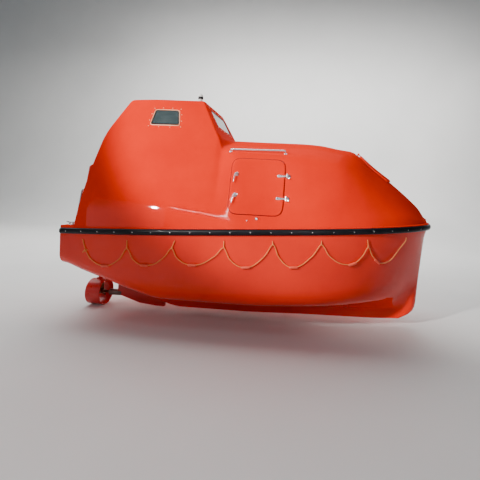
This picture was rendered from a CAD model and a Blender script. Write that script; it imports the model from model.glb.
import math

import bmesh
import bpy
from mathutils import Matrix, Vector


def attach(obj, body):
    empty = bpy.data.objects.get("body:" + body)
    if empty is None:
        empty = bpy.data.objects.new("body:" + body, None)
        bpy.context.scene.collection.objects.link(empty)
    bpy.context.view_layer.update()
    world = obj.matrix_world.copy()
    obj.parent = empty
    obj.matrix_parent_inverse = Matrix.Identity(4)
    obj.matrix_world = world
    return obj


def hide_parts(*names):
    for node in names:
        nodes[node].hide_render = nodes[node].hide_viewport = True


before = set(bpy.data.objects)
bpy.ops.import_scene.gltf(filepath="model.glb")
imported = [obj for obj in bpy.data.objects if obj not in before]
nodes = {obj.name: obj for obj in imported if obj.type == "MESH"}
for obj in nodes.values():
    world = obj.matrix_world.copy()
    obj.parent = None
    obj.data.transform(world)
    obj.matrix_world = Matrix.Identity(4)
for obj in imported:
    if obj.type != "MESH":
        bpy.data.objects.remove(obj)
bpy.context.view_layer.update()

# Lengths in the tables below are millimetres, as in the part's own source
MM = 0.001

# Camera: found from the photograph's outline, then held as plain places and angles
CAMERA_PLACE = (0.9, -5.5, 1.06)
CAMERA_YAW = math.radians(4)
CAMERA_ROLL = math.radians(3)
CAMERA_LENS = 27.6
CAMERA_SHIFT = (-0.112, -0.084)

# Driving dimensions
AFT_X = -2532
STEM_X = 2465
MID_BREADTH = 1055
TRANSOM_BREADTH = 810
PARALLEL_AFT_X = -500
PARALLEL_FORE_X = 600
BOW_START_X = 1200
HOLLOW_FORE_X = 2120
SHEER_MID_Z = 629
KEEL_Z = -652
HULL_WALL = 60
CANOPY_WALL = 45
FLANGE_OVERLAP = 8
ROOF_Z = 2371
ROOF_AFT_Z = 2352
ROOF_HALF = 495
ROOF_AFT_X = -1800
ROOF_ARCH_X = -1500
ROOF_FORE_X = -765
FRONT_RAKE = 0.545
DECK_AFT_Z = 560
AFT_FACE = [(-2310, 590), (-2206, 1290), (-2084, 1852)]
RIDGE_START_Z = 1890
CROWN_FULLNESS = 0.85
TOWER_FOOT_X = ROOF_FORE_X + (ROOF_Z - RIDGE_START_Z) * FRONT_RAKE
TOWER_CORNER = 55
SHAFT_Z = -510
NOZZLE_X = -2434
PROPELLER_X = NOZZLE_X + 20
FENDER_AFT_X = -2500
FENDER_PROUD = 45
FENDER_HEIGHT = 76
FIRST_SCREW = 110
SCREW_PITCH = 250
ROPE_DIAMETER = 12 * MM
FLOOR_Z = -0.712

# x, rake, chine share, chine height, round, keel root height, keel height, keel share
HULL_TABLE = [
    (AFT_X, 0, 0.985, 70, 115, -114, -122, 0.04),
    (-2200, 0, 0.975, -10, 150, -225, -235, 0.045),
    (-1850, 0, 0.965, -100, 190, -330, -350, 0.05),
    (-1500, 0, 0.955, -205, 215, -415, -560, 0.05),
    (-1100, 0, 0.94, -290, 235, -490, KEEL_Z, 0.055),
    (-180, 0, 0.936, -290, 244, -505, KEEL_Z, 0.055),
    (0, 0, 0.935, -290, 245, -508, -649, 0.055),
    (600, 0, 0.91, -262, 240, -500, -630, 0.057),
    (1100, 20, 0.852, -235, 225, -490, -619, 0.06),
    (1500, 60, 0.75, -205, 210, -478, -614, 0.065),
    (1850, 120, 0.6, -170, 180, -460, -609, 0.073),
    (2100, 190, 0.453, -130, 140, -440, -602, 0.085),
    (2280, 250, 0.32, -100, 100, -420, -594, 0.11),
    (2465, 313, 0.22, -60, 40, -400, -583, 0.35),
]

# x, knee share, knee height, round
KNEE_TABLE = [
    (AFT_X, 0.99, 700, 60),
    (-2310, 0.975, 820, 80),
    (-1500, 0.955, 900, 90),
    (-400, 0.945, 860, 90),
    (600, 0.935, 835, 80),
    (1400, 0.925, 860, 80),
    (2000, 0.9, 900, 60),
    (2465, 0.85, 830, 20),
]

# x, shoulder share, shoulder height, round, ridge height
FORE_TABLE = [
    (TOWER_FOOT_X, 0.621, 1888, 60, 1890),
    (-410, 0.668, 1700, 75, 1890),
    (-300, 0.75, 1642, 95, 1890),
    (-180, 0.805, 1612, 110, 1890),
    (0, 0.819, 1602, 120, 1889),
    (600, 0.819, 1594, 130, 1889),
    (866, 0.804, 1572, 148, 1877),
    (1150, 0.78, 1528, 170, 1832),
    (1330, 0.722, 1462, 187, 1811),
    (1400, 0.697, 1430, 190, 1775),
    (1650, 0.61, 1296, 170, 1574),
    (1930, 0.54, 1156, 140, 1371),
    (2310, 0.46, 955, 80, 1050),
    (2465, 0.4, 850, 25, 880),
]

# Route of the starboard grab line, from its knot forward, in metres
ROPE_ROUTE = [
    (-2.100, -0.908, 0.262), (-2.025, -0.916, 0.160), (-1.890, -0.945, 0.094), (-1.740, -0.970, 0.098),
    (-1.590, -0.992, 0.195), (-1.493, -1.005, 0.333), (-1.410, -1.008, 0.205), (-1.290, -1.017, 0.142),
    (-1.130, -1.028, 0.160), (-0.985, -1.040, 0.268), (-0.897, -1.049, 0.378), (-0.825, -1.046, 0.262),
    (-0.690, -1.044, 0.190), (-0.520, -1.047, 0.205), (-0.345, -1.052, 0.318), (-0.241, -1.057, 0.424),
    (-0.160, -1.050, 0.288), (-0.030, -1.046, 0.204), (0.120, -1.045, 0.222), (0.265, -1.048, 0.350),
    (0.366, -1.058, 0.499), (0.440, -1.046, 0.356), (0.560, -1.036, 0.246), (0.700, -1.026, 0.256),
    (0.855, -1.026, 0.395), (0.953, -1.036, 0.532), (1.050, -1.003, 0.405), (1.190, -0.958, 0.310),
    (1.350, -0.904, 0.302), (1.465, -0.886, 0.400), (1.533, -0.888, 0.518), (1.600, -0.832, 0.402),
    (1.715, -0.745, 0.310), (1.850, -0.676, 0.345), (1.965, -0.654, 0.500), (2.040, -0.642, 0.600),
]
FLOATS_X = [-1.801, -1.246, -0.626, 0.043, 0.629, 1.342, 1.670]

# Eyes that carry the grab line: x, breadth, height, and the number of the route's point below
EYES = [
    (-2150, 893, 418, 0), (-1500, 996, 454, 5), (-860, 1044, 490, 10), (-240, 1049, 525, 15),
    (357, 1049, 560, 20), (952, 1026, 595, 25), (1517, 905, 629, 30), (2040, 655, 661, 35),
]
EYE_SIZE = 26
EYE_PROUD = 9
EYE_GRIP = 3
KNOT_Z = ROPE_ROUTE[0][2]


# General helpers
def mix(a, b, share):
    return a + (b - a) * share


def points_between(a, b, count):
    """The points between two points, without the points themselves."""
    return [a.lerp(b, (i + 1) / (count + 1)) for i in range(count)]


def rounded_corner(start, corner, end, reach, count):
    """The points of a curve that takes a corner's place. It leaves some of each side straight."""
    most = 0.48
    back = start - corner
    ahead = end - corner
    first = corner + back.normalized() * min(reach, most * back.length)
    last = corner + ahead.normalized() * min(reach, most * ahead.length)
    steps = [i / (count - 1) for i in range(count)]
    return [first * (1 - t) ** 2 + corner * 2 * t * (1 - t) + last * t**2 for t in steps]


def circle(count):
    """Cosine and sine of even turns round a circle."""
    turns = [2 * math.pi * i / count for i in range(count)]
    return [(math.cos(turn), math.sin(turn)) for turn in turns]


def smooth_path(points, steps):
    """A smooth curve through points, with a number of steps between each two."""
    ends = [points[0] * 2 - points[1]] + list(points) + [points[-1] * 2 - points[-2]]
    path = []
    for i in range(1, len(ends) - 2):
        p0, p1, p2, p3 = ends[i - 1 : i + 3]
        for k in range(steps):
            t = k / steps
            a = p1 * 2
            b = (p2 - p0) * t
            c = (p0 * 2 - p1 * 5 + p2 * 4 - p3) * t**2
            d = (p1 * 3 - p0 - p2 * 3 + p3) * t**3
            path.append((a + b + c + d) * 0.5)
    path.append(points[-1].copy())
    return path


def rounded_route(points, reach, steps):
    route = [points[0]]
    for before, corner, after in zip(points, points[1:], points[2:]):
        route += rounded_corner(before, corner, after, reach, steps)
    return route + [points[-1]]


def link(obj):
    bpy.context.scene.collection.objects.link(obj)
    return obj


def shade(mesh, angle=32):
    for polygon in mesh.polygons:
        polygon.use_smooth = True
    mesh.set_sharp_from_angle(angle=math.radians(angle))


def edit_mesh(mesh, edit):
    bm = bmesh.new()
    bm.from_mesh(mesh)
    edit(bm)
    bm.to_mesh(mesh)
    bm.free()


def clean_mesh(bm):
    equal = 0.00002
    bmesh.ops.remove_doubles(bm, verts=bm.verts, dist=equal)
    bmesh.ops.dissolve_degenerate(bm, edges=bm.edges, dist=equal)
    bmesh.ops.recalc_face_normals(bm, faces=bm.faces)


def mesh_object(name, points, faces, angle=32):
    """An object from points in metres. Equal points are merged and the faces turned outwards."""
    mesh = bpy.data.meshes.new(name)
    mesh.from_pydata([tuple(p) for p in points], [], faces)
    edit_mesh(mesh, clean_mesh)
    shade(mesh, angle)
    return link(bpy.data.objects.new(name, mesh))


def joined(name, parts, angle=32):
    """One object from several lists of points and faces."""
    points = []
    faces = []
    for part_points, part_faces in parts:
        start = len(points)
        points += part_points
        faces += [tuple(start + i for i in face) for face in part_faces]
    return mesh_object(name, points, faces, angle)


def apply_modifiers(obj):
    graph = bpy.context.evaluated_depsgraph_get()
    result = bpy.data.meshes.new_from_object(obj.evaluated_get(graph))
    obj.modifiers.clear()
    obj.data = result


def round_edges(obj, width, segments, angle):
    bevel = obj.modifiers.new("rounding", "BEVEL")
    bevel.width = width
    bevel.segments = segments
    bevel.limit_method = "ANGLE"
    bevel.angle_limit = math.radians(angle)


def carve(obj, cutters, operation="DIFFERENCE"):
    """Cuts or joins meshes in turn, and removes the cutters."""
    for cutter in cutters:
        modifier = obj.modifiers.new("carve", "BOOLEAN")
        modifier.operation = operation
        modifier.solver = "EXACT"
        modifier.object = cutter
        apply_modifiers(obj)
        bpy.data.objects.remove(cutter)
    shade(obj.data)


# Forms as points and faces
def skin_faces(rings, around=True, ends=True):
    """Points and faces of a skin over rings of points."""
    count = len(rings[0])
    points = [p for ring in rings for p in ring]
    faces = []
    for i in range(len(rings) - 1):
        for j in range(count if around else count - 1):
            a = i * count + j
            b = i * count + (j + 1) % count
            faces.append((a, b, b + count, a + count))
    if ends:
        faces.append(tuple(range(count)))
        faces.append(tuple(reversed(range(len(points) - count, len(points)))))
    return points, faces


def closed_band(rings):
    """Points and faces of rings whose last one meets the first."""
    points, faces = skin_faces(rings, ends=False)
    count = len(rings[0])
    last = len(points) - count
    return points, faces + [(last + j, last + (j + 1) % count, (j + 1) % count, j) for j in range(count)]


def at(x, y, z):
    """A matrix at a place in millimetres."""
    return Matrix.Translation(Vector((x, y, z)) * MM)


def along_boat(x, z):
    """A matrix on the centre plane whose Z runs forward."""
    return at(x, 0, z) @ Matrix.Rotation(math.pi / 2, 4, "Y")


def aim(place, direction):
    """A matrix at a place whose Z runs along a direction."""
    return Matrix.Translation(place) @ Vector(direction).to_track_quat("Z", "Y").to_matrix().to_4x4()


def turned(profile, matrix, sides=32):
    """A turned form. The profile is radius and height along the matrix's Z, in millimetres."""
    rings = []
    for radius, height in profile:
        reach = max(radius, 0.2) * MM
        rings.append([matrix @ Vector((reach * c, reach * s, height * MM)) for c, s in circle(sides)])
    return skin_faces(rings)


def tube_parts(path, radius_at, sides=10):
    """A tube along a path. The radius is a number, or a function of the share of the path."""
    rings = []
    for i, point in enumerate(path):
        radius = radius_at(i / (len(path) - 1)) if callable(radius_at) else radius_at
        before = path[max(0, i - 1)]
        after = path[min(len(path) - 1, i + 1)]
        place = aim(point, after - before)
        rings.append([place @ Vector((radius * c, radius * s, 0)) for c, s in circle(sides)])
    return skin_faces(rings)


def torus_parts(place, radius, section, around=36, sides=14):
    rings = []
    for turn_c, turn_s in circle(around):
        ring = []
        for c, s in circle(sides):
            reach = radius + section * c
            ring.append(place @ Vector((reach * turn_c, reach * turn_s, section * s)))
        rings.append(ring)
    return closed_band(rings)


def domed_plate(shape, place_of, base, edge, top):
    """A low domed plate. shape is its outline about its middle, edge and top are heights above the base."""
    steps = [(0.05, base), (1.0, base), (1.0, base + edge), (0.93, base + edge + 0.45 * (top - edge))]
    dome = top - edge
    steps += [(0.78, base + edge + 0.75 * dome), (0.5, base + edge + 0.94 * dome), (0.08, base + top)]
    middle = sum(shape, Vector((0, 0))) / len(shape)
    rings = [[place_of(middle + (p - middle) * share, height) for p in shape] for share, height in steps]
    return skin_faces(rings)


def oblong(u, v, low, high, half):
    """A four-cornered outline about a point."""
    return [Vector((u + du, v + dv)) for du, dv in ((low, -half), (high, -half), (high, half), (low, half))]


def mirrored_parts(parts):
    return [([Vector((p.x, -p.y, p.z)) for p in points], faces) for points, faces in parts]


# Form of the hull and canopy
def table_slope(table, column, i):
    if i == 0 or i == len(table) - 1:
        return 0
    before = (table[i][column] - table[i - 1][column]) / (table[i][0] - table[i - 1][0])
    after = (table[i + 1][column] - table[i][column]) / (table[i + 1][0] - table[i][0])
    return 0 if before * after <= 0 else 2 * before * after / (before + after)


def table_row(table, x):
    """A table's values at x, on smooth curves that never pass the table's own highs and lows."""
    x = min(max(x, table[0][0]), table[-1][0])
    at = max(i for i in range(len(table) - 1) if table[i][0] <= x)
    width = table[at + 1][0] - table[at][0]
    t = (x - table[at][0]) / width
    row = []
    for column in range(len(table[0])):
        start = table[at][column]
        end = table[at + 1][column]
        s0 = table_slope(table, column, at) * width
        s1 = table_slope(table, column, at + 1) * width
        cubic = (2 * start - 2 * end + s0 + s1) * t**3
        row.append(cubic + (3 * end - 3 * start - 2 * s0 - s1) * t**2 + s0 * t + start)
    return row


def sheer_z(x):
    return SHEER_MID_Z + 0.058 * x + 1e-6 * x * x


def sheer_breadth(x):
    if x > PARALLEL_FORE_X:
        u = min(1, (x - PARALLEL_FORE_X) / (STEM_X - PARALLEL_FORE_X))
        return MID_BREADTH * math.sqrt(max(0, 1 - u**2.1))
    if x < PARALLEL_AFT_X:
        u = (PARALLEL_AFT_X - x) / (PARALLEL_AFT_X - AFT_X)
        return MID_BREADTH - (MID_BREADTH - TRANSOM_BREADTH) * u**2.2
    return MID_BREADTH


def hull_half(x):
    _, _, chine_share, chine_z, turn_round, root_z, keel_z, keel_share = table_row(HULL_TABLE, x)
    breadth = sheer_breadth(x)
    sheer = Vector((breadth, sheer_z(x)))
    chine = Vector((chine_share * breadth, chine_z))
    root = Vector((keel_share * breadth, root_z))
    foot = Vector((keel_share * breadth * 0.85, keel_z + 8))
    base = Vector((keel_share * breadth * 0.6, keel_z))
    turn = rounded_corner(sheer, chine, root, turn_round, 14)
    side = points_between(sheer, turn[0], 4)
    floor = points_between(turn[-1], root, 4)
    keel = [root, *points_between(root, foot, 2), foot, base, Vector((0, keel_z))]
    return [sheer, *side, *turn, *floor, *keel]


def stem_share(v):
    return 0.07 * min(1, v / 0.08) + 0.28 * v + 0.65 * max(0, (v - 0.8) / 0.2) ** 3.2


def both_sides(x_of, half):
    starboard = [Vector((x_of(p), -p.x, p.y)) * MM for p in half]
    port = [Vector((x_of(p), p.x, p.y)) * MM for p in reversed(half[:-1])]
    return starboard + port


def hull_ring(x):
    half = hull_half(x)
    rake = table_row(HULL_TABLE, x)[1]
    top = half[0].y
    bottom = half[-1].y
    return both_sides(lambda p: x - rake * stem_share((top - p.y) / (top - bottom)), half)


def hull_hollow_ring(x):
    """A ring without the keel, closed on the centre plane."""
    half = hull_half(x)[:-5]
    half[-1].x = 0
    return both_sides(lambda p: x, half)


def tower_profile():
    """The tower's outline from the aft deck over the roof to its foot, with rounded corners."""
    roof = [(ROOF_AFT_X, ROOF_AFT_Z), (ROOF_ARCH_X, ROOF_Z), (ROOF_FORE_X, ROOF_Z)]
    corners = [Vector(p) for p in (*AFT_FACE, *roof, (TOWER_FOOT_X, RIDGE_START_Z))]
    reaches = [0, 150, 150, 34, 140, 34, 0]
    profile = [corners[0]]
    for i in range(1, len(corners) - 1):
        profile += rounded_corner(corners[i - 1], corners[i], corners[i + 1], reaches[i], 7)
    profile.append(corners[-1])
    return profile


TOWER_PROFILE = tower_profile()


def tower_top(x):
    for before, after in zip(TOWER_PROFILE, TOWER_PROFILE[1:]):
        if x <= after.x:
            return mix(before.y, after.y, max(0, (x - before.x) / (after.x - before.x)))
    return TOWER_PROFILE[-1].y


def tower_side(x, z):
    _, knee_share, knee_z, _ = table_row(KNEE_TABLE, x)
    knee_y = knee_share * sheer_breadth(x)
    if z < knee_z:
        return mix(sheer_breadth(x), knee_y, (z - sheer_z(x)) / (knee_z - sheer_z(x)))
    return mix(knee_y, ROOF_HALF, (z - knee_z) / (ROOF_Z - knee_z))


def canopy_keys(x):
    """Knee, knee round, shoulder, shoulder round and ridge of a section."""
    breadth = sheer_breadth(x)
    bottom = sheer_z(x)
    if x < AFT_FACE[0][0]:
        edge = DECK_AFT_Z - bottom
        knee = Vector((breadth - 2, bottom + 0.5 * edge))
        return knee, 0.2 * edge, Vector((breadth - 4, DECK_AFT_Z)), 12, Vector((0, DECK_AFT_Z + 4))
    _, knee_share, knee_z, knee_round = table_row(KNEE_TABLE, x)
    if x < TOWER_FOOT_X - 1:
        top = tower_top(x)
        knee_z = min(knee_z, bottom + 0.6 * (top - bottom))
        knee = Vector((tower_side(x, knee_z), knee_z))
        shoulder = Vector((tower_side(x, top), top))
        round_limit = min(TOWER_CORNER, 0.4 * (top - knee_z))
        return knee, min(knee_round, 0.3 * (knee_z - bottom)), shoulder, round_limit, Vector((0, top))
    _, share, shoulder_z, shoulder_round, ridge_z = table_row(FORE_TABLE, x)
    knee = Vector((knee_share * breadth, knee_z))
    return knee, knee_round, Vector((share * breadth, shoulder_z)), shoulder_round, Vector((0, ridge_z))


def canopy_half(x):
    knee, knee_round, shoulder, shoulder_round, ridge = canopy_keys(x)
    edge = Vector((sheer_breadth(x), sheer_z(x)))

    def crown_at(share):
        point = shoulder.lerp(ridge, share)
        point.y += (ridge.y - shoulder.y) * CROWN_FULLNESS * share * (1 - share)
        return point

    lower = rounded_corner(edge, knee, shoulder, knee_round, 8)
    upper = rounded_corner(knee, shoulder, crown_at(0.3), shoulder_round, 12)
    crown = [crown_at(share) for share in (0.33, 0.4, 0.48, 0.57, 0.66, 0.75, 0.84, 0.92)]
    return [edge, *lower, *points_between(lower[-1], upper[0], 5), *upper, *crown, ridge]


def canopy_ring(x):
    return both_sides(lambda p: x, canopy_half(x))


def bow_stations(count):
    """Stations that crowd together towards the stem, where the outline turns across."""
    span = STEM_X - BOW_START_X
    return [BOW_START_X + span * (1 - (1 - i / count) ** 2) for i in range(1, count + 1)]


def even_stations(start, end, step):
    count = max(1, round((end - start) / step))
    return [start + (end - start) * i / count for i in range(count)]


hull_stations = even_stations(AFT_X, BOW_START_X, 60) + [BOW_START_X] + bow_stations(44)
canopy_xs = [p.x for p in TOWER_PROFILE[:-1]]
for stretch in ((-2290, -1830, 30), (-1740, -790, 60), (-740, -130, 18), (-130, BOW_START_X, 55)):
    canopy_xs += even_stations(*stretch)
canopy_xs += bow_stations(44)
canopy_stations = sorted({AFT_X, AFT_FACE[0][0] - 5, BOW_START_X} | {round(x, 2) for x in canopy_xs})


def side_point(x, z):
    """The canopy's starboard side at a place, in millimetres."""
    half = canopy_half(x)
    for before, after in zip(half, half[1:]):
        if before.y <= z <= after.y:
            share = (z - before.y) / max(0.001, after.y - before.y)
            return Vector((x, -mix(before.x, after.x, share), z))
    return Vector((x, -half[-1].x, z))


def top_point(x, y):
    """The canopy's top at a place, in millimetres."""
    half = canopy_half(x)
    for before, after in zip(half[9:], half[10:]):
        if after.x <= abs(y) <= before.x:
            share = (before.x - abs(y)) / max(0.001, before.x - after.x)
            return Vector((x, y, mix(before.y, after.y, share)))
    return Vector((x, y, half[-1].y))


def side_facing(x, z, step=6):
    """Outward direction of the canopy's starboard side."""
    along = side_point(x + step, z) - side_point(x - step, z)
    up = side_point(x, z + step) - side_point(x, z - step)
    return along.cross(up).normalized()


# Panel planes, in millimetres: hatch and window outlines are drawn on them
SIDE_HATCH = dict(width=683, height=715, round=120, x=110, z=1198)
SIDE_WINDOW = dict(bottom=406, top=328, height=226, round=34, x=-1255, z=2096)
FRONT_WINDOW = dict(bottom=760, top=760, height=268, round=35, z=2156)
AFT_WINDOW = dict(bottom=620, top=620, height=250, round=35, z=2110)
AFT_HATCH = dict(width=600, height=500, round=80, along=420, proud=8)
BOW_HATCH = dict(length=560, width=480, round=90, x=1672)
SURROUND = dict(half=650, low=12, high=785, top=850, proud=88)
HATCH_GAP = 7
CUT_SPAN = (-130, 130)


def panel_place(origin, along, out):
    """A matrix whose X runs along a panel and whose Z leaves it."""
    out = out.normalized()
    along = (along - out * along.dot(out)).normalized()
    matrix = Matrix((along, out.cross(along), out)).transposed().to_4x4()
    matrix.translation = origin
    return matrix


def centre_place(x, z, ahead, slope):
    """A panel on the centre plane that faces ahead, 1, or aft, -1, and leans by a slope."""
    return panel_place(Vector((x, 0, z)), Vector((0, ahead, 0)), Vector((ahead, 0, slope)))


def side_place(x, z, span):
    low = side_point(x, z - span)
    high = side_point(x, z + span)
    along = side_point(x + span, z) - side_point(x - span, z)
    return panel_place((low + high) / 2, along, along.cross(high - low))


def ridge_at(x):
    return table_row(FORE_TABLE, x)[4]


hatch_place = side_place(SIDE_HATCH["x"], SIDE_HATCH["z"], 300)
side_window_place = side_place(SIDE_WINDOW["x"], SIDE_WINDOW["z"], 90)
front_window_x = ROOF_FORE_X + (ROOF_Z - FRONT_WINDOW["z"]) * FRONT_RAKE
front_window_place = centre_place(front_window_x, FRONT_WINDOW["z"], 1, FRONT_RAKE)
aft_upper_slope = (ROOF_AFT_X - AFT_FACE[2][0]) / (ROOF_AFT_Z - AFT_FACE[2][1])
aft_window_x = ROOF_AFT_X - (ROOF_AFT_Z - AFT_WINDOW["z"]) * aft_upper_slope
aft_window_place = centre_place(aft_window_x, AFT_WINDOW["z"], -1, aft_upper_slope)
aft_slope = (AFT_FACE[1][0] - AFT_FACE[0][0]) / (AFT_FACE[1][1] - AFT_FACE[0][1])
aft_face_place = centre_place(*AFT_FACE[0], -1, aft_slope)
aft_hatch_place = aft_face_place @ Matrix.Translation((0, AFT_HATCH["along"], SURROUND["proud"]))
slope_reach = 250
bow_rise = ridge_at(BOW_HATCH["x"] + slope_reach) - ridge_at(BOW_HATCH["x"] - slope_reach)
bow_slope = bow_rise / (2 * slope_reach)
bow_hatch_place = panel_place(
    Vector((BOW_HATCH["x"], 0, ridge_at(BOW_HATCH["x"]))),
    Vector((1, 0, bow_slope)), Vector((-bow_slope, 0, 1)),
)


def outline_corners(bottom, top, height, inset):
    half = height / 2 - inset
    low = bottom / 2 - inset
    high = top / 2 - inset
    return [Vector((-low, -half)), Vector((low, -half)), Vector((high, half)), Vector((-high, half))]


def outline(bottom, top, height, corner_round, inset=0.0, per_side=8, per_corner=9):
    """A rounded four-sided outline, with the same number of points at every inset."""
    corners = outline_corners(bottom, top, height, inset)
    reach = max(corner_round - inset, 3)
    points = []
    for i in range(4):
        turn = rounded_corner(corners[i - 1], corners[i], corners[(i + 1) % 4], reach, per_corner)
        if points:
            points += points_between(points[-1], turn[0], per_side)
        points += turn
    return points + points_between(points[-1], points[0], per_side)


def window_outline(spec, inset=0.0):
    return outline(spec["bottom"], spec["top"], spec["height"], spec["round"], inset)


def hatch_outline(spec, inset=0.0, per_side=8):
    return outline(spec["width"], spec["width"], spec["height"], spec["round"], inset, per_side)


def bow_outline(inset=0.0, per_side=8):
    length = BOW_HATCH["length"]
    return outline(length, length, BOW_HATCH["width"], BOW_HATCH["round"], inset, per_side)


def prism(name, place, points, low, high):
    rings = [[(place @ Vector((p.x, p.y, height))) * MM for p in points] for height in (low, high)]
    return mesh_object(name, *skin_faces(rings))


def mirrored_object(obj, name):
    copy = link(bpy.data.objects.new(name, obj.data.copy()))

    def mirror(bm):
        for vertex in bm.verts:
            vertex.co.y = -vertex.co.y
        bmesh.ops.reverse_faces(bm, faces=bm.faces)

    edit_mesh(copy.data, mirror)
    return copy


def inner_skin(name, rings, wall, rim_shift):
    """A skin moved inwards by a wall. Its rim, each ring's first and last point, moves in height."""
    obj = mesh_object(name, *skin_faces(rings))
    rim = {tuple(round(c, 5) for c in p) for ring in rings for p in (ring[0], ring[-1])}

    def move(bm):
        bm.normal_update()
        for vertex in bm.verts:
            on_rim = tuple(round(c, 5) for c in vertex.co) in rim
            normal = vertex.normal.copy()
            if on_rim:
                normal.z = 0
                normal.normalize()
            vertex.co -= normal * wall
            if on_rim:
                vertex.co.z += rim_shift

    edit_mesh(obj.data, move)
    return obj


# Finishes: each one is a procedural material with its own variation, gloss, relief and wear
def srgb(r, g, b):
    def linear(c):
        c /= 255
        return c / 12.92 if c <= 0.04045 else ((c + 0.055) / 1.055) ** 2.4

    return (linear(r), linear(g), linear(b), 1)


def new_node(tree, kind, **values):
    """Adds a node and sets its inputs by name, where an underscore stands for a gap."""
    node = tree.nodes.new(kind)
    for key, value in values.items():
        node.inputs[key.replace("_", " ")].default_value = value
    return node


def object_place(tree):
    return tree.nodes.new("ShaderNodeTexCoord").outputs["Object"]


def noise(tree, scale, detail=4.0, roughness=0.5):
    texture = new_node(tree, "ShaderNodeTexNoise", Scale=scale, Detail=detail, Roughness=roughness)
    tree.links.new(object_place(tree), texture.inputs["Vector"])
    return texture.outputs["Fac"]


def remap(tree, value, low, high, to_low, to_high):
    node = new_node(tree, "ShaderNodeMapRange", From_Min=low, From_Max=high, To_Min=to_low, To_Max=to_high)
    tree.links.new(value, node.inputs["Value"])
    return node.outputs["Result"]


def blended(tree, first, second, share):
    """A colour between two colours, or between a socket's colour and a second one."""
    node = tree.nodes.new("ShaderNodeMix")
    node.data_type = "RGBA"
    if isinstance(first, tuple):
        node.inputs["A"].default_value = srgb(*first)
    else:
        tree.links.new(first, node.inputs["A"])
    node.inputs["B"].default_value = srgb(*second)
    tree.links.new(share, node.inputs["Factor"])
    return node.outputs["Result"]


def varied(tree, shader, scale, low, high, roughness=0.5):
    """Links gloss that varies between two values. roughness is that of the noise itself."""
    fine = noise(tree, scale, 4.0, roughness)
    tree.links.new(remap(tree, fine, 0.3, 0.7, low, high), shader.inputs["Roughness"])


def new_material(name):
    material = bpy.data.materials.new(name)
    material.use_nodes = True
    return material, material.node_tree, material.node_tree.nodes["Principled BSDF"]


def add_bump(tree, shader, height, strength, distance):
    bump = new_node(tree, "ShaderNodeBump", Strength=strength, Distance=distance)
    tree.links.new(height, bump.inputs["Height"])
    tree.links.new(bump.outputs["Normal"], shader.inputs["Normal"])


def finish(name, base, shade_colour, gloss, relief, wear=None, metallic=0.0, coat=0.0, scale=3.0, sheen=0.3,
           chalked=None):
    """Colours are 0 to 255. gloss is the lowest and highest roughness, relief the bump's strength, scale and
    depth, wear a colour and its share, and chalked the weight of the coat on faces that look up."""
    material, tree, shader = new_material(name)
    shader.inputs["Metallic"].default_value = metallic
    shader.inputs["Specular IOR Level"].default_value = 0.5 if metallic else sheen
    if coat:
        shader.inputs["Coat Weight"].default_value = coat
        shader.inputs["Coat Roughness"].default_value = 0.04
    if chalked is not None:
        split = tree.nodes.new("ShaderNodeSeparateXYZ")
        tree.links.new(tree.nodes.new("ShaderNodeNewGeometry").outputs["Normal"], split.inputs["Vector"])
        tree.links.new(remap(tree, split.outputs["Z"], 0.0, 0.3, coat, chalked), shader.inputs["Coat Weight"])
    broad = noise(tree, scale, 5.0, 0.55)
    colour = blended(tree, base, shade_colour, remap(tree, broad, 0.35, 0.7, 0, 1))
    if wear:
        marks = noise(tree, scale * 14, 6.0, 0.7)
        colour = blended(tree, colour, wear[0], remap(tree, marks, 0.6, 0.78, 0, wear[1]))
    tree.links.new(colour, shader.inputs["Base Color"])
    varied(tree, shader, scale * 5, *gloss, roughness=0.6)
    add_bump(tree, shader, noise(tree, relief[1], 3.0), relief[0], relief[2])
    return material


def rope_finish():
    material, tree, shader = new_material("twisted_rope")
    strands = new_node(tree, "ShaderNodeTexWave", Scale=42, Distortion=1.2)
    strands.wave_type = "BANDS"
    strands.bands_direction = "DIAGONAL"
    tree.links.new(object_place(tree), strands.inputs["Vector"])
    colour = blended(tree, (236, 96, 30), (255, 170, 84), remap(tree, strands.outputs["Fac"], 0, 1, 0, 1))
    soiled = blended(tree, colour, (150, 60, 30), remap(tree, noise(tree, 9), 0.55, 0.8, 0, 0.5))
    tree.links.new(soiled, shader.inputs["Base Color"])
    varied(tree, shader, 30, 0.7, 0.9)
    shader.inputs["Sheen Weight"].default_value = 0.2
    add_bump(tree, shader, strands.outputs["Fac"], 0.7, 0.0015)
    return material


def glass_finish():
    material, tree, shader = new_material("window_glass")
    shader.inputs["Transmission Weight"].default_value = 0.55
    shader.inputs["IOR"].default_value = 1.5
    tint = blended(tree, (84, 100, 102), (104, 118, 120), remap(tree, noise(tree, 9), 0.35, 0.7, 0, 1))
    tree.links.new(tint, shader.inputs["Base Color"])
    varied(tree, shader, 26, 0.04, 0.14)
    add_bump(tree, shader, noise(tree, 7), 0.15, 0.004)
    return material


ORANGE = finish(
    "gelcoat", (240, 42, 10), (228, 35, 9), (0.2, 0.32), (0.12, 2.2, 0.02),
    ((190, 30, 8), 0.25), coat=0.75, scale=1.6, sheen=0.0, chalked=0.03,
)
RED = finish(
    "red_paint", (206, 36, 30), (186, 30, 28), (0.25, 0.42), (0.2, 30, 0.002),
    ((120, 24, 24), 0.4), coat=0.2, scale=4,
)
RUBBER = finish(
    "fender_rubber", (14, 14, 18), (24, 24, 30), (0.3, 0.5), (0.25, 60, 0.001),
    ((60, 60, 66), 0.3), coat=0.1, scale=5, sheen=0.15,
)
SEAL = finish(
    "seal_rubber", (16, 16, 18), (26, 26, 28), (0.45, 0.65), (0.2, 90, 0.001),
    ((44, 44, 44), 0.3), scale=8,
)
CHROME = finish(
    "chrome", (236, 234, 230), (214, 212, 210), (0.12, 0.24), (0.08, 60, 0.0005),
    ((150, 142, 130), 0.25), metallic=0.8, scale=10,
)
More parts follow.
